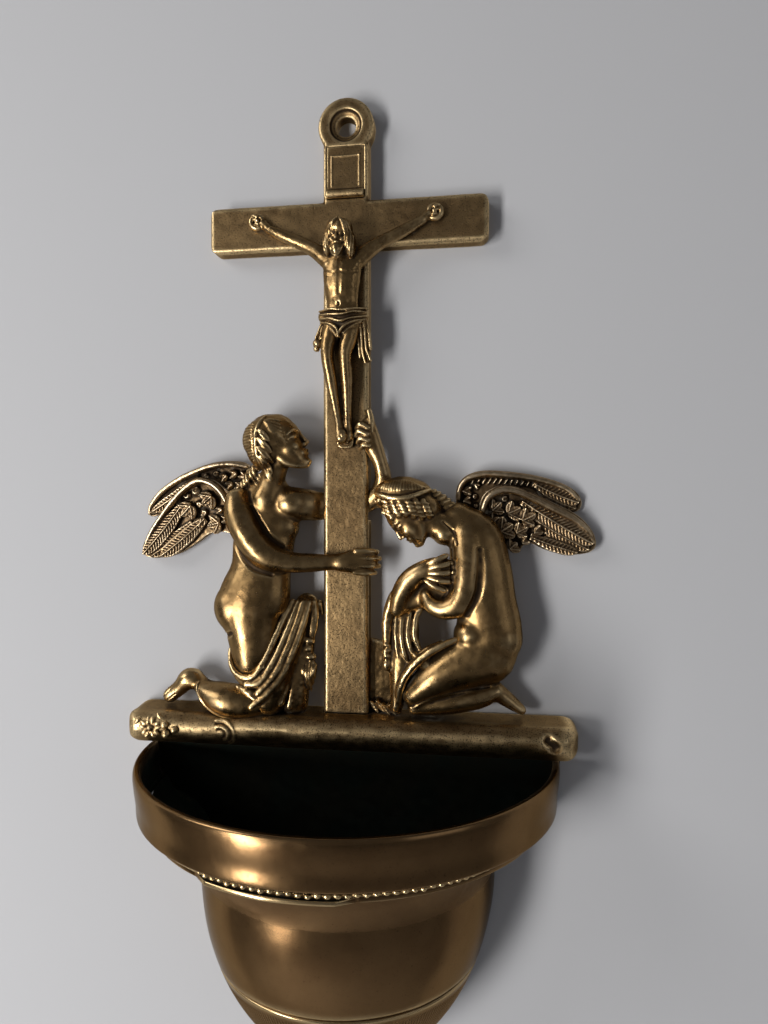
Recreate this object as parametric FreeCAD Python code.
import FreeCAD, Part
import math
import os

# Wall stoup for holy water, cast brass, in millimetres.
# The origin is the centre of the hanging hole on the wall plane.
# X runs to the viewer's right, -Y out of the wall, Z up.

# ---- driving dimensions: cross ----
cross_thickness = 5.5
edge_bevel = 0.9
eye_radius = 8.7
eye_lip_radius = 5.2
eye_dish_depth = 1.8
hole_radius = 3.0
post_width = 14.2
title_width = 11.6
title_height = 13.5
title_drop = 6.4            # from the hole down to the upper edge of the title
title_thickness = 0.9
title_curl_radius = 1.3
beam_span = 87.5
beam_height = 14.5
beam_drop = 30.35           # from the hole down to the middle of the beam
cross_drop = 182.0          # from the hole down to the foot of the post

# ---- driving dimensions: plinth ----
plinth_length = 139.8
plinth_depth = 14.2
plinth_height = 11.2
plinth_top_slope = 0.8
plinth_end_radius = 5.5
plinth_rise = 1.4           # the plinth's top stands this much above the foot of the post
flower_inset = 9.0          # middle of the flower, from the plinth's left end

# ---- driving dimensions: basin ----
basin_drop = 1.8            # gap from the plinth's underside to the top of the rim
rim_radius = 65.0
band_height = 13.4
band_taper = 0.9
band_thickness = 2.2
band_lip_height = 2.0
collar_radius = 60.2
collar_height = 2.4
wall_thickness = 2.4
bead_radius = 1.15
bead_pitch = 2.38
bead_round = 0.011          # share of the row's radius by which its upper and lower edges draw in
ledge_height = 1.4
ledge_overhang = 1.7        # the ledge under the beads stands this much outside the collar
bowl_radius = 45.6
bowl_curve_height = 59.0    # half height of the ellipse that the bowl follows
bowl_depth = 52.0           # how much of that half height the bowl uses
calyx_height = 27.4
calyx_thickness = 1.3
seat_gap = 0.03             # the calyx fits round the bowl with this much room
flute_count = 44
flute_depth = 0.45
back_plate_thickness = 2.5
back_tongue_width = 76.0
back_tongue_height = 5.4
screw_radius = 1.6
screw_head_radius = 3.0
screw_length = 9.0
screw_spacing = 52.0

# ---- driving dimensions: figures ----
corpus_hand_x = 27.6        # middle of the corpus's hands, each side of the post
corpus_hand_rise = 1.8      # and above the middle of the beam
corpus_foot_drop = 65.5     # the foot nail, below the middle of the beam
corpus_nail_radius = 0.6
corpus_nail_length = 3.4
corpus_nail_head = 0.9
arm_slot_rise = 63.6        # channel across the back of the post for the left angel's far arm
arm_slot_height = 9.0
arm_slot_depth = 4.3
arm_clearance = 2.7         # middle of the left angel's hand, in front of the post's face
wing_depth = 2.6
rear_wing_depth = 1.6
shaft_radius = 0.5
web_thickness = 2.2         # sheet between the post and the right angel's knee
thick_limb = 5.0            # half width from which a limb gets twelve sides
thin_limb = 1.7             # half width up to which it gets six
fit_clearance = 0.15

# ---- levels that follow from them ----
beam_z = -beam_drop
foot_z = -cross_drop
plinth_top = foot_z + plinth_rise
plinth_bottom = plinth_top - plinth_height
rim_z = plinth_bottom - basin_drop
band_bottom = rim_z - band_height
bead_z = band_bottom - bead_radius
ledge_z = band_bottom - 2 * bead_radius
cove_z = ledge_z - ledge_height
ledge_radius = collar_radius + ledge_overhang
cove_radius = ledge_radius - bowl_radius
bowl_z = cove_z - cove_radius
base_z = bowl_z - bowl_depth
calyx_top = base_z + calyx_height
arm_slot_z = plinth_top + arm_slot_rise
front = -cross_thickness

big = 400.0                 # larger than the whole stoup
back_trim = 1.0             # rough castings start this far behind the wall plane


def vec(x, y, z):
    return FreeCAD.Vector(x, y, z)


def fuse_all(shapes):
    """Join neighbours in pairs, then the pairs, until one shape is left."""
    joined = list(shapes)
    while len(joined) > 1:
        pairs = [joined[i].fuse(joined[i + 1]) for i in range(0, len(joined) - 1, 2)]
        if len(joined) % 2:
            pairs.append(joined[-1])
        joined = pairs
    return joined[0]


def one_solid(shape):
    """Largest solid of a boolean's result, without its crumbs."""
    solids = sorted(shape.Solids, key=lambda s: s.Volume, reverse=True)
    return solids[0]


def in_front_of(shape, depth):
    """The part of a shape that lies at least depth in front of the wall."""
    keep = Part.makeBox(big, big, 2 * big, vec(-big / 2, -big - depth, -big * 1.5))
    return shape.common(keep)


def closed_curve(points):
    curve = Part.BSplineCurve()
    curve.interpolate(Points=points, PeriodicFlag=True)
    return Part.Wire([curve.toShape()])


def polygon(points):
    return Part.makePolygon(points + points[:1])


def sides_for(half_width):
    """More sides on a thick limb than on a finger."""
    if half_width > thick_limb:
        return 12
    return 8 if half_width > thin_limb else 6


def oval(centre, run, half_width, half_depth, sides):
    """Closed oval of flats across a limb, square to the way the limb runs."""
    side = run.cross(vec(0, -1, 0))
    side.normalize()
    out = side.cross(run)
    out.normalize()
    points = []
    for i in range(sides):
        turn = 2 * math.pi * i / sides
        across = side * (half_width * math.cos(turn))
        points.append(centre + across + out * (half_depth * math.sin(turn)))
    return polygon(points)


def limb(stations, place=(0.0, 0.0, 0.0)):
    """Rounded limb through stations of x, depth in front of the wall, z, half width, half depth."""
    sides = sides_for(max(station[3] for station in stations))
    centres = []
    sizes = []
    for x, depth, z, half_width, half_depth in stations:
        centres.append(vec(place[0] + x, -place[1] - depth, place[2] + z))
        sizes.append((half_width, half_depth))
    last = len(centres) - 1
    rounding = ((0.90, 0.42), (0.55, 0.82))
    wires = []
    start_run = centres[1] - centres[0]
    start_run.normalize()
    for reach, share in rounding:
        at = centres[0] - start_run * (sizes[0][0] * reach)
        wires.append(oval(at, start_run, sizes[0][0] * share, sizes[0][1] * share, sides))
    for i in range(last + 1):
        run = centres[min(i + 1, last)] - centres[max(i - 1, 0)]
        run.normalize()
        wires.append(oval(centres[i], run, sizes[i][0], sizes[i][1], sides))
    end_run = centres[last] - centres[last - 1]
    end_run.normalize()
    for reach, share in reversed(rounding):
        at = centres[last] + end_run * (sizes[last][0] * reach)
        wires.append(oval(at, end_run, sizes[last][0] * share, sizes[last][1] * share, sides))
    return Part.makeLoft(wires, True, True)


def cord(points, radius, place):
    """Fold of cloth: an even roll along a smooth path of x, depth, z points."""
    path = Part.BSplineCurve()
    path.interpolate(Points=[vec(place[0] + x, -place[1] - depth, place[2] + z) for x, depth, z in points])
    steps = 2 * (len(points) - 1)
    wires = []
    for i in range(steps + 1):
        at = path.FirstParameter + (path.LastParameter - path.FirstParameter) * i / steps
        wires.append(oval(path.value(at), path.tangent(at)[0], radius, radius, sides_for(radius)))
    return Part.makeLoft(wires, True, True)


def egg(x, depth, z, half_width, half_depth, half_height, tilt=0.0, place=(0.0, 0.0, 0.0)):
    """Egg shaped swelling, its axis leaning in the plane of the wall by a tilt in degrees."""
    centre = vec(place[0] + x, -place[1] - depth, place[2] + z)
    run = vec(math.sin(math.radians(tilt)), 0, math.cos(math.radians(tilt)))
    sides = sides_for(half_width)
    wires = []
    for reach in (-0.97, -0.75, -0.35, 0.35, 0.75, 0.97):
        share = math.sqrt(1 - reach * reach)
        at = centre + run * (half_height * reach)
        wires.append(oval(at, run, half_width * share, half_depth * share, sides))
    return Part.makeLoft(wires, True, True)


def blade(outline, depth, place):
    """Flat leaf of metal with a smooth closed outline; its back is trimmed to the wall plane later."""
    points = [vec(place[0] + x, back_trim, place[2] + z) for x, z in outline]
    face = Part.Face(closed_curve(points))
    return face.extrude(vec(0, -depth - back_trim, 0))


def feather(root, tip, half_width, depth, place):
    """Long feather: a flat rounded vane with a raised shaft."""
    length = math.hypot(tip[0] - root[0], tip[1] - root[1])
    run_x = (tip[0] - root[0]) / length
    run_z = (tip[1] - root[1]) / length
    half = ((0.0, 0.55), (0.30, 0.92), (0.62, 1.0), (0.88, 0.66))
    around = list(half) + [(1.0, 0.0)] + [(share, -width) for share, width in reversed(half)]
    outline = []
    for share, width in around:
        outline.append((root[0] + run_x * length * share - run_z * half_width * width,
                        root[1] + run_z * length * share + run_x * half_width * width))
    points = [vec(place[0] + x, back_trim, place[2] + z) for x, z in outline]
    vane = Part.Face(polygon(points)).extrude(vec(0, -depth - back_trim, 0))
    run = vec(run_x, 0, run_z)
    root_at = vec(place[0] + root[0], -depth, place[2] + root[1])
    tip_at = root_at + run * (0.86 * length)
    shaft = Part.makeLoft([oval(root_at, run, shaft_radius, shaft_radius, 6),
                           oval(tip_at, run, 0.6 * shaft_radius, 0.6 * shaft_radius, 6)], True, True)
    return [vane, shaft]


def covert(x, z, radius, depth, tilt, place):
    """Short round feather: a leaf with ten sides, lower at its edge, with a raised shaft."""
    lean = math.radians(tilt)
    middle = vec(place[0] + x, 0, place[2] + z)
    rings = []
    for out, share in ((-back_trim, 1.0), (depth, 1.0), (depth + 0.24 * radius, 0.55)):
        points = []
        for i in range(10):
            turn = lean + 2 * math.pi * i / 10
            points.append(middle + vec(math.sin(turn), 0, math.cos(turn)) * (radius * share) - vec(0, out, 0))
        rings.append(polygon(points))
    leaf = Part.makeLoft(rings, True, True)
    run = vec(math.sin(lean), 0, math.cos(lean))
    ridge_at = middle - vec(0, depth + 0.24 * radius, 0)
    reach = 0.6 * radius
    shaft = Part.makeLoft([oval(ridge_at - run * reach, run, 0.7 * shaft_radius, 0.7 * shaft_radius, 6),
                           oval(ridge_at + run * reach, run, 0.5 * shaft_radius, 0.5 * shaft_radius, 6)],
                          True, True)
    return [leaf, shaft]


# ---- cross ----

def bevelled_bar(width, height, thickness, centre_x, centre_z):
    bar = Part.makeBox(width, thickness, height, vec(centre_x - width / 2, -thickness, centre_z - height / 2))
    edges = [e for e in bar.Edges if abs(e.CenterOfMass.y + thickness) < 1e-6]
    return bar.makeChamfer(edge_bevel, edges)


def hanging_eye():
    disc = Part.makeCylinder(eye_radius, cross_thickness, vec(0, 0, 0), vec(0, -1, 0))
    rim = [e for e in disc.Edges if abs(e.CenterOfMass.y + cross_thickness) < 1e-6]
    return disc.makeFillet(edge_bevel, rim)


def eye_cutters():
    hole = Part.makeCylinder(hole_radius, 3 * cross_thickness, vec(0, cross_thickness, 0), vec(0, -1, 0))
    dish = Part.makeCone(hole_radius, eye_lip_radius, eye_dish_depth,
                         vec(0, front + eye_dish_depth, 0), vec(0, -1, 0))
    return [hole, dish]


def title_recess():
    height = title_height + 2 * title_curl_radius
    return Part.makeBox(title_width + 2 * fit_clearance, big, height,
                        vec(-title_width / 2 - fit_clearance, front - big + title_thickness,
                            -title_drop - height))


def make_cross():
    post = bevelled_bar(post_width, cross_drop, cross_thickness, 0, -cross_drop / 2)
    beam = bevelled_bar(beam_span, beam_height, cross_thickness, 0, beam_z)
    body = fuse_all([post, beam, hanging_eye()])
    slot = Part.makeBox(2 * post_width, arm_slot_depth, arm_slot_height,
                        vec(-post_width, -arm_slot_depth, arm_slot_z - arm_slot_height / 2))
    return one_solid(body.cut(eye_cutters() + [title_recess(), slot]))


def make_title_scroll():
    """Bare plate with its lower edge rolled forward."""
    left = -title_width / 2
    curl_y = front + title_thickness - title_curl_radius
    curl_z = -title_drop - title_height - title_curl_radius
    sheet = Part.makeBox(title_width, title_thickness, -title_drop - curl_z, vec(left, front, curl_z))
    curl = Part.makeCylinder(title_curl_radius, title_width, vec(left, curl_y, curl_z), vec(1, 0, 0))
    bore = Part.makeCylinder(0.45 * title_curl_radius, 2 * title_width, vec(2 * left, curl_y, curl_z),
                             vec(1, 0, 0))
    return one_solid(sheet.fuse(curl).cut(bore))


# ---- corpus ----

def make_corpus(cross):
    place = (0.0, cross_thickness, beam_z)
    pieces = [
        # trunk, the two legs, neck, skull and beard
        limb([(0, 2.2, -10.0, 5.2, 2.4), (-0.2, 3.2, -13.5, 6.3, 3.5), (-0.3, 3.1, -19.5, 5.9, 3.2),
              (-0.3, 2.5, -25.0, 5.2, 2.7), (0, 2.8, -30.5, 5.8, 3.1)], place),
        limb([(-2.9, 2.8, -31.0, 3.0, 3.0), (-4.2, 3.5, -36.0, 2.7, 2.9), (-4.7, 4.4, -40.8, 2.1, 2.4),
              (-3.8, 3.2, -48.0, 2.0, 2.2), (-2.3, 2.6, -56.5, 1.5, 1.8), (-1.2, 3.0, -62.0, 1.4, 1.6),
              (-0.5, 3.9, -66.5, 1.9, 1.5)], place),
        limb([(2.9, 2.8, -31.0, 3.0, 3.0), (2.3, 3.6, -36.0, 2.8, 3.0), (1.2, 4.4, -41.0, 2.2, 2.4),
              (1.5, 3.2, -48.0, 2.1, 2.2), (1.4, 2.4, -56.5, 1.6, 1.8), (1.1, 1.8, -62.0, 1.4, 1.5),
              (1.0, 1.4, -66.0, 1.9, 1.4)], place),
        limb([(-0.3, 2.8, -11.5, 2.8, 2.4), (-0.6, 4.0, -7.5, 2.2, 2.2)], place),
        egg(-0.9, 5.4, -4.3, 3.9, 3.8, 5.0, 6.0, place),
        egg(-1.6, 7.2, -8.3, 2.0, 2.0, 3.2, 6.0, place),
        # hair at each side of the head
        limb([(-4.2, 4.4, -1.8, 1.5, 2.4), (-5.0, 4.0, -6.0, 1.3, 2.2),
              (-5.3, 3.0, -10.6, 1.1, 1.8)], place),
        limb([(2.2, 4.6, -1.6, 1.6, 2.4), (3.4, 4.2, -5.5, 1.5, 2.2),
              (4.2, 2.8, -9.8, 1.2, 1.8)], place),
        egg(-0.8, 5.4, -1.0, 4.2, 3.4, 2.4, 6.0, place),
    ]
    for way in (-1, 1):
        pieces.append(limb([(5.2 * way, 2.8, -11.4, 2.6, 2.5), (10.0 * way, 2.4, -8.0, 2.0, 1.9),
                            (16.0 * way, 2.1, -5.0, 1.8, 1.7), (22.0 * way, 1.9, -1.7, 1.5, 1.5),
                            (26.2 * way, 1.6, 0.9, 1.3, 1.3)], place))
        pieces.append(egg(corpus_hand_x * way, 1.3, corpus_hand_rise, 2.5, 1.4, 2.1, -30.0 * way, place))
    pieces.append(Part.makeBox(4.6, 2.4, 5.0, vec(-2.0, front - 2.4, beam_z - corpus_foot_drop - 3.7)))
    # loincloth: two bands, the knot at the left hip and the drape at the right
    cloth = [
        limb([(-6.4, 2.2, -29.6, 1.9, 2.6), (0, 4.2, -30.3, 2.3, 2.8), (6.2, 2.4, -29.4, 1.9, 2.6)], place),
        limb([(-5.0, 3.6, -31.4, 1.4, 1.8), (-1.5, 5.6, -34.4, 1.5, 1.6), (1.6, 5.2, -33.2, 1.5, 1.6),
              (5.4, 3.4, -31.0, 1.4, 1.8)], place),
        limb([(-6.0, 2.6, -31.0, 1.2, 1.4), (-7.6, 2.6, -34.5, 1.3, 1.5)], place),
        egg(-8.0, 2.4, -37.2, 1.9, 1.9, 1.9, 0.0, place),
        limb([(5.8, 2.8, -31.0, 1.6, 2.0), (6.4, 2.4, -37.0, 1.9, 2.0), (7.2, 1.8, -43.4, 1.7, 1.6)], place),
    ]
    solid = fuse_all(pieces + cloth).cut([cross] + make_corpus_nails())
    return one_solid(in_front_of(solid, 0.0))


def make_corpus_nails():
    """Three nails, each a round head on a shank that ends at the face of the cross."""
    hand_z = beam_z + corpus_hand_rise
    foot_nail_z = beam_z - corpus_foot_drop
    spots = [(-corpus_hand_x, hand_z, 2.4), (corpus_hand_x, hand_z, 2.4), (0.0, foot_nail_z, 5.0)]
    nails = []
    for x, z, out in spots:
        inward = vec(0, 1, 0)
        shank = Part.makeCylinder(corpus_nail_radius, corpus_nail_length, vec(x, front - out, z), inward)
        head = Part.makeCylinder(2 * corpus_nail_radius, corpus_nail_head,
                                 vec(x, front - out - 0.7 * corpus_nail_head, z), inward)
        nails.append(in_front_of(shank.fuse(head), cross_thickness))
    return nails


# ---- figures beside the cross ----

def generic_head(x, depth, z, height, lean, turn, place):
    """Plain head on schoolbook proportions: a skull, a jaw and a nose, leaning by an angle.

    turn is -1 for a face to the left and 1 for a face to the right."""
    def at(forward, up):
        angle = math.radians(lean)
        return (x + turn * (forward * math.cos(angle) - up * math.sin(angle)),
                z + forward * math.sin(angle) + up * math.cos(angle))
    skull_x, skull_z = at(-0.06 * height, 0.14 * height)
    jaw_x, jaw_z = at(0.16 * height, -0.20 * height)
    chin_x, chin_z = at(0.30 * height, -0.42 * height)
    brow_x, brow_z = at(0.36 * height, 0.12 * height)
    nose_x, nose_z = at(0.46 * height, -0.10 * height)
    skull = egg(skull_x, depth, skull_z, 0.44 * height, 0.36 * height, 0.36 * height, -turn * lean, place)
    jaw = egg(jaw_x, depth, jaw_z, 0.27 * height, 0.27 * height, 0.30 * height, -turn * lean, place)
    chin = egg(chin_x, depth, chin_z, 0.08 * height, 0.10 * height, 0.07 * height, 0.0, place)
    nose = limb([(brow_x, depth, brow_z, 0.05 * height, 0.05 * height),
                 (nose_x, depth, nose_z, 0.06 * height, 0.07 * height)], place)
    return [skull, jaw, chin, nose]


def left_place():
    return (-post_width / 2, 0.0, plinth_top)


def right_place():
    return (post_width / 2, 0.0, plinth_top)


def make_left_angel(cross, plinth):
    place = left_place()
    over_post = cross_thickness + arm_clearance
    pieces = [
        # trunk from the neck root to the seat, and the thigh down to the knee on the plinth
        limb([(-17.4, 6.5, 66.0, 8.0, 5.5), (-18.2, 7.0, 60.0, 10.2, 6.5),
              (-18.9, 7.0, 51.0, 9.8, 6.6), (-19.2, 6.8, 43.0, 9.4, 6.4),
              (-20.8, 7.2, 35.0, 11.2, 7.0), (-22.2, 7.4, 28.0, 10.4, 7.1),
              (-21.6, 7.7, 19.0, 7.9, 6.5), (-20.8, 7.8, 11.0, 6.4, 5.8),
              (-19.0, 7.4, 4.5, 4.6, 4.8)], place),
        egg(-28.4, 7.5, 30.2, 6.6, 6.8, 7.4, -20.0, place),
        # calf along the plinth and foot behind it
        limb([(-17.0, 6.6, 2.8, 3.4, 4.4), (-24.0, 7.6, 3.6, 4.7, 5.2), (-31.5, 7.6, 3.8, 4.7, 5.2),
              (-38.4, 6.6, 5.4, 3.2, 4.0), (-42.6, 5.8, 7.4, 2.8, 3.6)], place),
        limb([(-42.4, 5.4, 7.2, 2.8, 3.6), (-46.0, 5.0, 5.0, 2.8, 3.4), (-50.0, 4.4, 1.8, 1.7, 3.0)], place),
        # neck
        limb([(-16.6, 6.6, 65.0, 4.8, 4.2), (-15.0, 7.0, 71.5, 3.7, 3.8),
              (-14.0, 7.2, 76.0, 3.5, 3.6)], place),
        # near arm over the front of the post
        limb([(-25.0, 9.0, 64.0, 6.0, 5.6), (-24.2, 10.6, 58.5, 5.4, 4.8), (-20.6, 11.4, 51.8, 4.6, 4.2),
              (-13.6, 11.2, 47.3, 4.0, 3.7), (-5.0, over_post + 1.6, 46.6, 3.5, 3.2),
              (2.0, over_post, 46.6, 2.9, 2.8), (6.4, over_post, 46.5, 2.6, 2.5),
              (10.4, over_post, 46.6, 3.5, 2.2), (13.4, over_post - 0.6, 46.7, 3.4, 1.7)], place),
        # far arm through the channel behind the post, and up its right side
        limb([(-8.6, 6.4, 64.4, 5.2, 5.0), (-4.6, 4.4, 63.8, 4.3, 3.6), (-1.2, 2.1, 63.6, 3.8, 2.0),
              (6.0, 2.05, 63.6, 3.6, 1.9), (12.6, 2.1, 64.2, 3.3, 2.0), (16.8, 2.8, 67.0, 3.0, 2.4),
              (18.6, 3.8, 71.6, 2.6, 2.6), (17.8, 4.8, 77.0, 2.3, 2.3), (16.4, 5.6, 81.6, 2.2, 2.0),
              (15.6, 6.2, 85.6, 2.5, 1.9)], place),
    ]
    # fingers of the near hand, then of the far hand round the post's right edge
    for i in range(3):
        pieces.append(limb([(12.6, over_post, 48.9 - 2.2 * i, 1.05, 1.3),
                            (15.6, over_post - 0.4, 49.0 - 2.3 * i, 0.95, 1.1),
                            (17.6, over_post - 1.4, 49.0 - 2.4 * i, 0.8, 0.9)], place))
        pieces.append(limb([(16.4, 6.2, 87.8 - 2.1 * i, 1.0, 1.3),
                            (13.8, over_post - 0.6, 88.3 - 2.2 * i, 1.0, 1.2),
                            (11.8, over_post - 1.8, 88.1 - 2.2 * i, 0.9, 1.1)], place))
    pieces.append(limb([(15.8, 5.4, 86.0, 1.5, 1.5), (15.0, 5.0, 92.0, 1.2, 1.3)], place))
    pieces += generic_head(-13.6, 8.0, 82.0, 19.0, 22.0, 1, place)
    # close cap with its band, locks in front of it and the gathered tail behind the neck
    pieces += [
        egg(-16.6, 8.0, 84.0, 8.6, 7.6, 8.2, 20.0, place),
        limb([(-18.4, 12.6, 91.0, 0.9, 2.2), (-19.0, 13.6, 83.0, 0.9, 2.6),
              (-17.8, 12.4, 75.0, 0.9, 2.2)], place),
        limb([(-23.0, 6.0, 73.0, 1.8, 2.4), (-27.4, 4.4, 68.4, 1.9, 2.6)], place),
    ]
    for i in range(3):
        pieces.append(limb([(-17.8, 13.2, 87.0 - 4.0 * i, 1.2, 1.6), (-15.0, 14.2, 84.0 - 4.0 * i, 1.4, 1.7),
                            (-12.6, 13.6, 80.8 - 3.6 * i, 1.1, 1.5)], place))
    solid = fuse_all(pieces)
    solid = solid.cut([cross, plinth])
    return one_solid(in_front_of(solid, 0.0))


def make_left_drapery(angel, cross, plinth):
    place = left_place()
    pieces = [
        # sheet from the far hip down to the knee and the plinth
        limb([(-5.4, 4.2, 33.2, 4.0, 3.6), (-8.0, 5.4, 26.0, 4.2, 4.6), (-11.6, 7.0, 16.0, 4.6, 5.4),
              (-15.2, 8.4, 8.0, 5.2, 5.6), (-16.8, 8.6, 3.4, 5.4, 5.2)], place),
        limb([(-8.0, 4.6, 18.0, 4.6, 4.0), (-9.6, 5.2, 9.0, 4.6, 4.6), (-9.8, 5.4, 1.6, 4.6, 4.8)], place),
        # hem round the thigh and two rolls below it
        cord([(-28.4, 5.0, 21.0), (-28.6, 8.6, 15.0), (-25.0, 12.4, 11.6), (-19.6, 13.8, 11.4),
              (-14.6, 13.0, 14.6)], 1.4, place),
        cord([(-26.4, 10.0, 9.0), (-20.6, 12.6, 8.2), (-14.6, 12.6, 12.2)], 1.6, place),
        cord([(-22.2, 11.8, 3.2), (-17.6, 12.8, 5.8), (-12.4, 12.0, 11.0)], 1.6, place),
        # hanging tassel with its knot
        cord([(-3.6, 4.4, 33.0), (-3.2, 4.6, 27.0), (-3.2, 4.4, 18.0)], 1.8, place),
        egg(-3.4, 4.4, 18.8, 2.4, 2.6, 2.0, 0.0, place),
        limb([(-3.6, 4.4, 16.0, 2.0, 2.2), (-3.6, 4.4, 12.0, 2.4, 2.4), (-3.2, 4.2, 7.6, 1.4, 1.6)], place),
    ]
    # long folds, fanned from the hip to the hem
    for i in range(4):
        top_x = -8.6 + 1.8 * i
        pieces.append(cord([(top_x, 6.4, 33.0), (top_x - 3.4, 9.0, 24.0),
                            (-13.0 + 1.2 * i, 11.6, 15.4 - 2.2 * i)], 0.9, place))
    solid = fuse_all(pieces)
    solid = solid.cut([angel, cross, plinth])
    return one_solid(in_front_of(solid, 0.0))


def make_left_front_wing(angel):
    place = left_place()
    outline = [(-28.0, 64.0), (-32.4, 69.0), (-37.4, 72.2), (-44.0, 71.0), (-50.4, 66.0), (-55.6, 59.6),
               (-60.2, 52.0), (-61.3, 47.8), (-56.6, 46.6), (-49.4, 48.0), (-42.4, 51.8), (-37.2, 55.0),
               (-30.4, 55.0), (-26.0, 58.0)]
    pieces = [blade(outline, wing_depth, place)]
    pieces.append(limb([(-30.4, 3.4, 64.0, 1.5, 2.2), (-33.6, 4.4, 69.4, 1.5, 2.2),
                        (-39.0, 4.6, 72.0, 1.4, 2.2), (-45.0, 4.2, 69.4, 1.3, 2.0),
                        (-51.0, 3.6, 63.6, 1.2, 1.8), (-57.0, 3.0, 56.0, 1.1, 1.5)], place))
    long_feathers = [((-44.0, 65.0), (-59.4, 49.6), 3.0), ((-41.0, 60.8), (-57.0, 47.8), 2.8),
                     ((-38.0, 57.0), (-52.0, 48.2), 2.6)]
    for i, (root, tip, half_width) in enumerate(long_feathers):
        pieces += feather(root, tip, half_width, wing_depth + 1.1 - 0.35 * i, place)
    round_feathers = [(-37.8, 65.4, 3.3, 40.0), (-45.2, 62.4, 3.2, 40.0), (-35.4, 58.6, 2.9, 20.0),
                      (-32.4, 62.6, 2.0, 30.0), (-40.6, 59.4, 2.4, 40.0)]
    for i, (x, z, radius, tilt) in enumerate(round_feathers):
        pieces += covert(x, z, radius, wing_depth + 1.2 + 0.15 * i, tilt, place)
    solid = fuse_all(pieces).cut(angel)
    return one_solid(in_front_of(solid, 0.0))


def make_left_rear_wing(angel, front_wing):
    place = left_place()
    outline = [(-24.0, 75.0), (-30.0, 77.6), (-38.0, 77.2), (-46.0, 74.8), (-54.0, 69.8), (-59.0, 64.6),
               (-60.0, 60.2), (-56.6, 60.0), (-48.0, 60.6), (-38.0, 62.0), (-28.0, 64.0), (-22.0, 68.0)]
    pieces = [blade(outline, rear_wing_depth, place)]
    pieces.append(limb([(-24.4, 2.2, 75.6, 1.2, 1.9), (-32.0, 2.6, 76.8, 1.3, 2.0),
                        (-40.0, 2.6, 75.8, 1.3, 1.9), (-48.0, 2.2, 72.6, 1.2, 1.7),
                        (-55.0, 1.8, 67.6, 1.1, 1.4)], place))
    for i, (root, tip) in enumerate((((-42.0, 72.0), (-58.0, 62.0)), ((-40.0, 68.4), (-54.6, 61.4)))):
        pieces += feather(root, tip, 2.3, rear_wing_depth + 0.9 - 0.35 * i, place)
    for i, (x, z) in enumerate(((-26.8, 72.0), (-31.0, 70.8), (-28.6, 67.8))):
        pieces += covert(x, z, 2.3, rear_wing_depth + 0.7 + 0.15 * i, 30.0, place)
    solid = fuse_all(pieces).cut([angel, front_wing])
    return one_solid(in_front_of(solid, 0.0))


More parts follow.
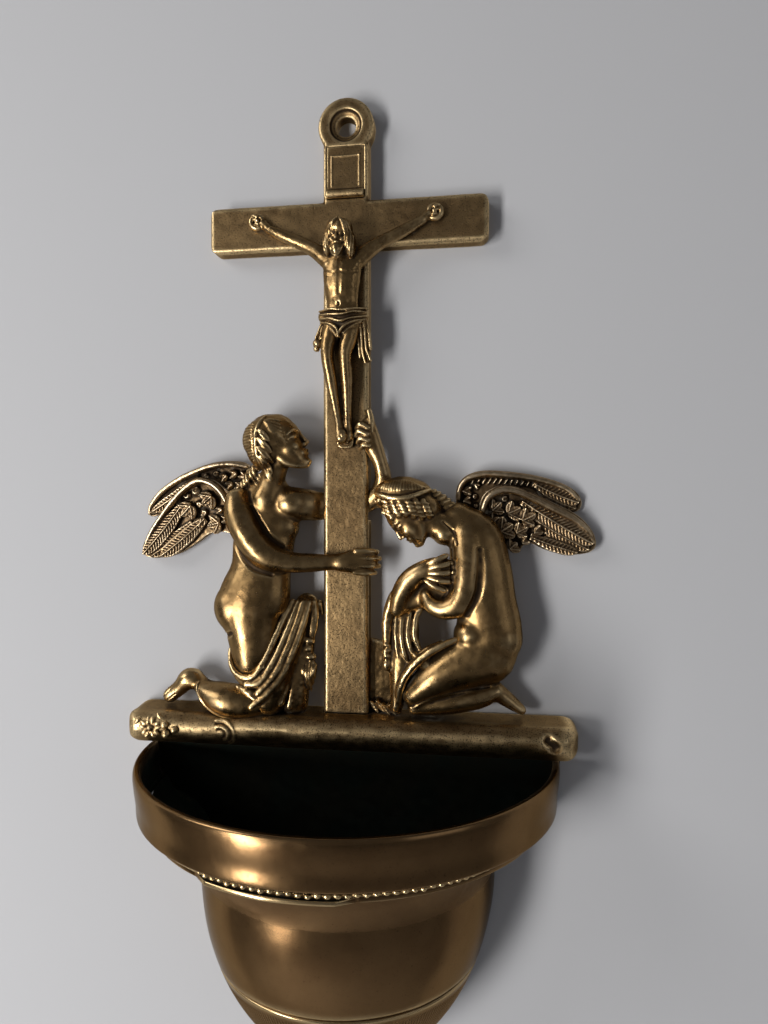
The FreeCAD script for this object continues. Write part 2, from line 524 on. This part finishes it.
def make_right_angel(cross, plinth):
    place = right_place()
    pieces = [
        # bent trunk, from the shoulders round the back to the seat
        limb([(27.4, 6.4, 58.6, 6.6, 5.4), (32.2, 7.0, 54.2, 8.6, 6.4), (34.6, 7.2, 45.0, 9.0, 6.8),
              (35.8, 7.2, 35.0, 9.4, 6.9), (36.8, 7.4, 26.0, 9.6, 7.2), (36.2, 7.4, 18.6, 8.6, 7.0)], place),
        # thigh down to the knee, shin under it, foot
        limb([(36.0, 7.8, 19.6, 9.2, 7.2), (28.0, 8.4, 16.0, 7.6, 6.6), (20.4, 8.6, 11.6, 5.9, 5.9),
              (14.4, 8.0, 6.4, 4.0, 5.0)], place),
        limb([(14.0, 6.4, 2.6, 2.6, 4.2), (24.0, 6.6, 4.2, 3.6, 4.6), (33.6, 6.2, 6.2, 3.6, 4.4),
              (38.6, 5.6, 8.2, 2.9, 3.8)], place),
        limb([(38.0, 5.2, 8.6, 2.9, 3.6), (42.4, 4.6, 5.2, 2.4, 3.2), (46.6, 4.0, 2.0, 1.6, 2.8)], place),
        # neck and far shoulder
        limb([(27.4, 6.8, 56.0, 5.6, 4.8), (21.6, 8.4, 58.6, 4.6, 4.4), (16.0, 9.0, 61.6, 4.2, 4.0)], place),
        # near arm: down to the elbow and back across the body
        limb([(30.4, 10.0, 54.6, 5.6, 4.8), (29.6, 11.8, 47.4, 4.7, 4.2), (27.6, 12.4, 39.6, 4.1, 3.9),
              (25.6, 12.0, 34.4, 3.8, 3.6)], place),
        limb([(25.8, 12.0, 34.2, 3.7, 3.5), (21.8, 11.6, 33.8, 3.1, 3.0),
              (18.4, 10.6, 37.4, 2.5, 2.6)], place),
        # far forearm and hand, laid over the near arm
        limb([(9.6, 9.0, 34.0, 3.4, 3.8), (12.6, 11.0, 40.6, 3.6, 3.6), (16.6, 12.6, 44.8, 3.5, 3.2),
              (21.4, 13.6, 45.4, 3.9, 2.6)], place),
        limb([(9.8, 7.0, 33.0, 3.6, 3.6), (16.0, 7.4, 36.0, 4.4, 4.0), (24.0, 7.4, 40.0, 6.0, 4.6)], place),
    ]
    for i in range(4):
        pieces.append(limb([(22.0, 14.0, 48.6 - 2.2 * i, 1.1, 1.3), (25.6, 14.4, 47.8 - 2.3 * i, 1.0, 1.2),
                            (27.2, 14.0, 46.6 - 2.3 * i, 0.85, 1.0)], place))
    # bowed head with its pleated cap, raised fillet and rope of hair
    pieces += generic_head(14.0, 9.6, 60.6, 18.0, -52.0, -1, place)
    pieces += [
        egg(11.0, 8.4, 67.4, 9.4, 6.6, 6.0, 4.0, place),
        limb([(2.6, 8.0, 69.2, 0.9, 1.7), (8.0, 12.6, 67.2, 0.9, 1.9), (14.0, 13.4, 67.0, 0.9, 1.9),
              (19.4, 10.6, 69.4, 0.9, 1.7)], place),
        limb([(1.8, 6.0, 64.4, 2.0, 2.6), (6.6, 10.6, 63.8, 2.5, 3.0), (13.0, 12.4, 63.4, 2.6, 3.0),
              (19.6, 9.8, 64.0, 2.5, 3.0)], place),
        limb([(19.4, 7.2, 67.4, 2.2, 2.4), (23.6, 6.2, 63.4, 2.3, 2.6), (27.8, 5.6, 60.0, 2.0, 2.4)], place),
    ]
    solid = fuse_all(pieces)
    solid = solid.cut([cross, plinth])
    return one_solid(in_front_of(solid, 0.0))


def make_right_drapery(angel, cross, plinth):
    place = right_place()
    pieces = [
        limb([(10.4, 5.6, 33.6, 5.2, 4.4), (11.0, 6.2, 25.0, 5.4, 5.0), (10.6, 6.6, 17.0, 5.0, 5.4),
              (9.2, 6.6, 9.0, 2.8, 5.0), (8.8, 6.2, 2.4, 2.2, 4.6)], place),
        # bright roll with its knot, down from the elbow
        cord([(9.4, 8.4, 37.0), (7.2, 8.8, 30.4), (6.2, 8.8, 21.0)], 1.7, place),
        egg(6.2, 8.6, 20.8, 2.2, 2.4, 1.8, 0.0, place),
        limb([(6.2, 8.4, 19.6, 1.7, 2.0), (6.2, 8.2, 15.4, 1.8, 2.0)], place),
        # hem along the thigh, down to the plinth
        cord([(27.8, 12.4, 24.0), (21.6, 13.2, 21.2), (15.6, 12.8, 16.6), (11.4, 11.6, 10.4),
              (9.4, 9.4, 2.0)], 1.4, place),
    ]
    for i in range(4):
        top_x = 9.6 + 1.9 * i
        pieces.append(cord([(top_x, 9.0, 33.4), (top_x - 0.3, 10.4, 25.0),
                            (top_x + 0.3 * i, 10.8, 17.6)], 0.85, place))
    # thin web between the post and the knee
    web = [(0.0, 22.0), (5.6, 21.0), (8.6, 12.0), (9.4, 1.0), (9.0, -plinth_rise), (0.0, -plinth_rise)]
    corners = [vec(place[0] + x, 0, place[2] + z) for x, z in web]
    pieces.append(Part.Face(polygon(corners)).extrude(vec(0, -web_thickness, 0)))
    solid = fuse_all(pieces)
    solid = solid.cut([angel, cross, plinth])
    return one_solid(in_front_of(solid, 0.0))


def make_right_front_wing(angel):
    place = right_place()
    outline = [(33.0, 60.0), (34.2, 64.6), (36.2, 68.0), (41.0, 69.6), (47.6, 68.0), (54.6, 64.8),
               (61.0, 61.0), (66.4, 56.4), (68.6, 52.2), (66.6, 49.2), (61.0, 48.8), (54.6, 49.8),
               (48.6, 51.6), (44.0, 49.4), (41.0, 52.2), (37.0, 56.0)]
    pieces = [blade(outline, wing_depth, place)]
    pieces.append(limb([(34.8, 3.4, 58.6, 1.1, 2.0), (34.9, 4.2, 63.6, 1.3, 2.2), (37.2, 4.6, 67.6, 1.5, 2.2),
                        (42.4, 4.6, 68.6, 1.5, 2.2), (49.0, 4.0, 66.4, 1.3, 2.0), (56.4, 3.4, 62.6, 1.2, 1.7),
                        (62.6, 2.8, 58.8, 1.1, 1.4)], place))
    long_feathers = [((47.0, 64.0), (67.4, 54.0), 3.1), ((48.0, 59.0), (66.0, 50.8), 2.9),
                     ((48.6, 54.0), (61.0, 49.8), 2.4)]
    for i, (root, tip, half_width) in enumerate(long_feathers):
        pieces += feather(root, tip, half_width, wing_depth + 1.1 - 0.35 * i, place)
    round_feathers = [(39.2, 62.8, 2.8, -35.0), (44.2, 61.2, 2.8, -35.0), (42.0, 56.4, 3.2, -40.0),
                      (48.2, 58.8, 2.6, -35.0), (46.8, 55.2, 2.4, -40.0), (44.4, 51.8, 2.3, -40.0)]
    for i, (x, z, radius, tilt) in enumerate(round_feathers):
        pieces += covert(x, z, radius, wing_depth + 1.2 + 0.15 * i, tilt, place)
    solid = fuse_all(pieces).cut(angel)
    return one_solid(in_front_of(solid, 0.0))


def make_right_rear_wing(angel, front_wing):
    place = right_place()
    outline = [(27.4, 62.0), (26.4, 67.6), (28.4, 71.6), (33.0, 73.8), (42.0, 74.2), (51.0, 73.0),
               (59.0, 70.2), (64.2, 65.4), (63.6, 62.2), (59.0, 62.2), (50.0, 62.0), (40.0, 61.0),
               (33.0, 60.0)]
    pieces = [blade(outline, rear_wing_depth, place)]
    pieces.append(limb([(28.2, 2.2, 66.0, 1.1, 1.8), (28.9, 2.6, 70.2, 1.2, 2.0),
                        (33.4, 2.8, 72.6, 1.3, 2.0), (42.0, 2.6, 73.0, 1.2, 1.8),
                        (50.6, 2.2, 71.8, 1.1, 1.6), (58.4, 1.8, 69.2, 1.0, 1.3)], place))
    for i, (root, tip) in enumerate((((44.0, 70.2), (62.6, 65.0)), ((46.0, 66.8), (61.0, 63.8)))):
        pieces += feather(root, tip, 2.2, rear_wing_depth + 0.9 - 0.35 * i, place)
    for i, (x, z) in enumerate(((30.8, 67.8), (30.6, 64.0))):
        pieces += covert(x, z, 2.3, rear_wing_depth + 0.7 + 0.15 * i, -10.0, place)
    solid = fuse_all(pieces).cut([angel, front_wing])
    return one_solid(in_front_of(solid, 0.0))


# ---- plinth ----

def back_tongue(clearance):
    """Upper tongue of the back plate, or the rebate for it when given a clearance."""
    width = back_tongue_width + 2 * clearance
    depth = back_plate_thickness + clearance
    height = back_tongue_height + basin_drop + clearance
    return Part.makeBox(width, depth, height, vec(-width / 2, -depth, rim_z))


def make_plinth():
    top = plinth_top
    toe = plinth_bottom
    start = vec(0, 0, top)
    crest = vec(0, -0.62 * plinth_depth, top - plinth_top_slope)
    nose = vec(0, -plinth_depth, top - 0.38 * plinth_height)
    under = vec(0, -0.72 * plinth_depth, toe)
    back = vec(0, 0, toe)
    brow = Part.Arc(crest, vec(0, -0.90 * plinth_depth, top - 0.16 * plinth_height), nose).toShape()
    belly = Part.Arc(nose, vec(0, -0.92 * plinth_depth, top - 0.80 * plinth_height), under).toShape()
    edges = [Part.makeLine(start, crest), brow, belly, Part.makeLine(under, back), Part.makeLine(back, start)]
    bar = Part.Face(Part.Wire(edges)).extrude(vec(plinth_length, 0, 0))
    bar.translate(vec(-plinth_length / 2, 0, 0))
    plan = Part.makeBox(plinth_length, 2 * plinth_depth, 2 * plinth_height,
                        vec(-plinth_length / 2, -plinth_depth, toe - plinth_height / 2))
    corners = [e for e in plan.Edges
               if abs(e.Length - 2 * plinth_height) < 1e-6 and e.CenterOfMass.y < 0]
    plan = plan.makeFillet(plinth_end_radius, corners)
    bar = bar.common(plan)
    foot_seat = Part.makeBox(post_width, 2 * plinth_depth, big, vec(-post_width / 2, front, foot_z))
    return one_solid(bar.cut([back_tongue(fit_clearance), foot_seat] + make_screws()))


def make_plinth_flowers(plinth):
    """Five petals round a button, two berries beside it and a bud at the plinth's end."""
    place = (flower_inset - plinth_length / 2, plinth_depth - 0.6, plinth_top - 0.40 * plinth_height)
    petals = 5
    pieces = [egg(0.0, 0.0, 0.0, 1.4, 1.9, 1.4, 0.0, place)]
    for i in range(petals):
        turn = 2 * math.pi * i / petals + 0.3
        pieces.append(egg(2.3 * math.cos(turn), 0.0, 2.1 * math.sin(turn), 1.7, 1.2, 1.5, 0.0, place))
    for shift, rise in ((4.2, 0.2), (6.6, -1.0)):
        pieces.append(egg(shift, 0.0, rise, 1.6, 1.7, 1.6, 0.0, place))
    pieces.append(limb([(-3.0, -0.4, 0.4, 1.2, 1.2), (-5.8, -3.0, 1.4, 1.0, 1.2)], place))
    return one_solid(fuse_all(pieces).cut(plinth))


# ---- basin ----

def bowl_ring(z):
    """Outer radius of the bowl at a level below the cove."""
    share = (bowl_z - z) / bowl_curve_height
    return bowl_radius * math.sqrt(1 - share * share)


def bowl_arc(top, bottom, inset=0.0):
    """Side of the bowl between two levels, moved inwards by an inset."""
    ends = [vec(bowl_ring(z) - inset, 0, z) for z in (top, (top + bottom) / 2, bottom)]
    return Part.Arc(*ends).toShape()


def calyx_levels():
    steps = 4
    return [calyx_top + (base_z - calyx_top) * i / steps for i in range(steps + 1)]


def half_turn(face):
    """Turn a profile round the basin's upright axis and cut it flat against the back plate."""
    ring = face.revolve(vec(0, 0, 0), vec(0, 0, 1), 360)
    return in_front_of(ring, back_plate_thickness)


def cove(thickness=0.0):
    """Hollow from the ledge in to the bowl, in five flats; its inner face lies a thickness behind."""
    steps = 5
    radius = cove_radius + thickness
    points = []
    for i in range(steps + 1):
        turn = 0.5 * math.pi * i / steps
        points.append(vec(ledge_radius - radius * math.sin(turn), 0, bowl_z + radius * math.cos(turn)))
    return points


def make_bowl():
    collar_top = band_bottom + collar_height
    inner = collar_radius - wall_thickness
    inner_cove = [point for point in cove(wall_thickness) if point.x < inner]
    inner_cove = [vec(inner, 0, inner_cove[0].z)] + inner_cove
    inner_low = inner_cove[-1]
    inner_inset = wall_thickness + 0.6 * calyx_thickness
    floor_z = base_z + wall_thickness
    seat = [vec(bowl_ring(z) - calyx_thickness, 0, z) for z in calyx_levels()]
    inner_middle = vec(bowl_ring(calyx_top) - inner_inset, 0, calyx_top)
    inner_bottom = vec(bowl_ring(floor_z) - inner_inset, 0, floor_z)
    edges = [
        Part.makeLine(vec(inner, 0, collar_top), vec(collar_radius, 0, collar_top)),
        Part.makeLine(vec(collar_radius, 0, collar_top), vec(collar_radius, 0, ledge_z)),
        Part.makeLine(vec(collar_radius, 0, ledge_z), vec(ledge_radius, 0, ledge_z)),
        Part.makeLine(vec(ledge_radius, 0, ledge_z), vec(ledge_radius, 0, cove_z)),
        *Part.makePolygon(cove()).Edges,
        bowl_arc(bowl_z, calyx_top),
        *Part.makePolygon([vec(bowl_ring(calyx_top), 0, calyx_top)] + seat + [vec(0, 0, base_z)]).Edges,
        Part.makeLine(vec(0, 0, base_z), vec(0, 0, floor_z)),
        Part.makeLine(vec(0, 0, floor_z), inner_bottom),
        bowl_arc(floor_z, calyx_top, inner_inset),
        Part.makeLine(inner_middle, inner_low),
        *Part.makePolygon(inner_cove[::-1]).Edges,
        Part.makeLine(inner_cove[0], vec(inner, 0, collar_top)),
    ]
    return one_solid(half_turn(Part.Face(Part.Wire(edges))))


def make_band():
    low_radius = rim_radius - band_taper
    lip_top = band_bottom + band_lip_height
    corners = [
        vec(rim_radius, 0, rim_z),
        vec(low_radius, 0, band_bottom),
        vec(collar_radius, 0, band_bottom),
        vec(collar_radius, 0, lip_top),
        vec(low_radius - band_thickness, 0, lip_top),
        vec(rim_radius - band_thickness, 0, rim_z),
    ]
    return one_solid(half_turn(Part.Face(polygon(corners))))


def bead_section(z, scale):
    """Level cut through the bead row: a half ring whose outside swells at each bead."""
    outer = (collar_radius + bead_radius) * scale
    crown = (collar_radius + 2 * bead_radius) * scale
    start = math.asin(back_plate_thickness / collar_radius)
    sweep = math.pi - 2 * start
    count = int(collar_radius * sweep / bead_pitch)
    inner = collar_radius / math.cos(0.5 * sweep / count)

    def around(radius, place):
        angle = math.pi + start + sweep * place / count
        return vec(radius * math.cos(angle), radius * math.sin(angle), z)

    outside = []
    for i in range(count):
        outside += [around(outer, i), around(crown, i + 0.25), around(crown, i + 0.75)]
    inside = [around(inner, i) for i in range(count, -1, -1)]
    return polygon(outside + [around(outer, count)] + inside)


def make_bead_ring():
    """Row of beads, cast as one strip from one side of the back plate round to the other."""
    levels = ((-1.0, 1 - bead_round), (-0.45, 1.0), (0.45, 1.0), (1.0, 1 - bead_round))
    sections = [bead_section(bead_z + bead_radius * up, scale) for up, scale in levels]
    return one_solid(Part.makeLoft(sections, True, True))


def calyx_section(z):
    """Level cut through the calyx: a half ring with a notch for each flute."""
    outer = bowl_ring(z)
    inner = outer - calyx_thickness + seat_gap
    flat = -back_plate_thickness
    start = math.asin(back_plate_thickness / outer)
    sweep = math.pi - 2 * start

    def around(radius, share):
        angle = math.pi + start + sweep * share
        return vec(radius * math.cos(angle), radius * math.sin(angle), z)

    points = []
    for i in range(flute_count):
        points.append(around(outer, i / flute_count))
        points.append(around(outer - flute_depth, (i + 0.5) / flute_count))
    edges = Part.makePolygon(points + [around(outer, 1.0)]).Edges
    inner_x = math.sqrt(inner * inner - flat * flat)
    edges.append(Part.makeLine(around(outer, 1.0), vec(inner_x, flat, z)))
    edges.append(Part.Arc(vec(inner_x, flat, z), vec(0, -inner, z), vec(-inner_x, flat, z)).toShape())
    edges.append(Part.makeLine(vec(-inner_x, flat, z), around(outer, 0.0)))
    return Part.Wire(edges)


def make_calyx():
    """Fluted cup, lofted through level cuts from its upper edge to the foot of the bowl."""
    sections = [calyx_section(z) for z in calyx_levels()]
    return one_solid(Part.makeLoft(sections, True, True))


def make_back_plate():
    """Plate that closes the back of the basin, with the outline of the basin's own profile."""
    right = [
        Part.makeLine(vec(rim_radius, 0, rim_z), vec(rim_radius - band_taper, 0, band_bottom)),
        Part.makeLine(vec(rim_radius - band_taper, 0, band_bottom), vec(ledge_radius, 0, band_bottom)),
        Part.makeLine(vec(ledge_radius, 0, band_bottom), vec(ledge_radius, 0, cove_z)),
        *Part.makePolygon(cove()).Edges,
        bowl_arc(bowl_z, calyx_top),
        bowl_arc(calyx_top, base_z),
        Part.makeLine(vec(bowl_ring(base_z), 0, base_z), vec(0, 0, base_z)),
        Part.makeLine(vec(0, 0, base_z), vec(0, 0, rim_z)),
        Part.makeLine(vec(0, 0, rim_z), vec(rim_radius, 0, rim_z)),
    ]
    half = Part.Face(Part.Wire(right)).extrude(vec(0, -back_plate_thickness, 0))
    other = half.mirror(vec(0, 0, 0), vec(1, 0, 0))
    plate = fuse_all([half, other, back_tongue(0.0)])
    return one_solid(plate.cut(make_screws()))


def make_screws():
    """Two countersunk screws that enter the plinth from behind."""
    z = plinth_bottom + 0.5 * back_tongue_height
    screws = []
    for way in (-1, 1):
        x = way * screw_spacing / 2
        shank = Part.makeCylinder(screw_radius, screw_length, vec(x, 0, z), vec(0, -1, 0))
        head = Part.makeCone(screw_head_radius, screw_radius, screw_head_radius - screw_radius,
                             vec(x, 0, z), vec(0, -1, 0))
        screws.append(shank.fuse(head))
    return screws


# ---- build and write ----

cross = make_cross()
plinth = make_plinth()
left_angel = make_left_angel(cross, plinth)
right_angel = make_right_angel(cross, plinth)
left_front_wing = make_left_front_wing(left_angel)
right_front_wing = make_right_front_wing(right_angel)

nodes = {
    "cross": cross,
    "title_scroll": make_title_scroll(),
    "corpus": make_corpus(cross),
    "corpus_nails": Part.makeCompound(make_corpus_nails()),
    "left_angel": left_angel,
    "left_angel_drapery": make_left_drapery(left_angel, cross, plinth),
    "left_angel_front_wing": left_front_wing,
    "left_angel_rear_wing": make_left_rear_wing(left_angel, left_front_wing),
    "right_angel": right_angel,
    "right_angel_drapery": make_right_drapery(right_angel, cross, plinth),
    "right_angel_front_wing": right_front_wing,
    "right_angel_rear_wing": make_right_rear_wing(right_angel, right_front_wing),
    "plinth": plinth,
    "plinth_flowers": make_plinth_flowers(plinth),
    "basin_bowl": make_bowl(),
    "basin_band": make_band(),
    "bead_ring": make_bead_ring(),
    "basin_calyx": make_calyx(),
    "basin_back_plate": make_back_plate(),
    "basin_screws": Part.makeCompound(make_screws()),
}

os.makedirs("parts", exist_ok=True)
for name, shape in nodes.items():
    print(name, len(shape.Solids), round(shape.Volume), shape.isValid())
    shape.exportStep("parts/" + name + ".step")
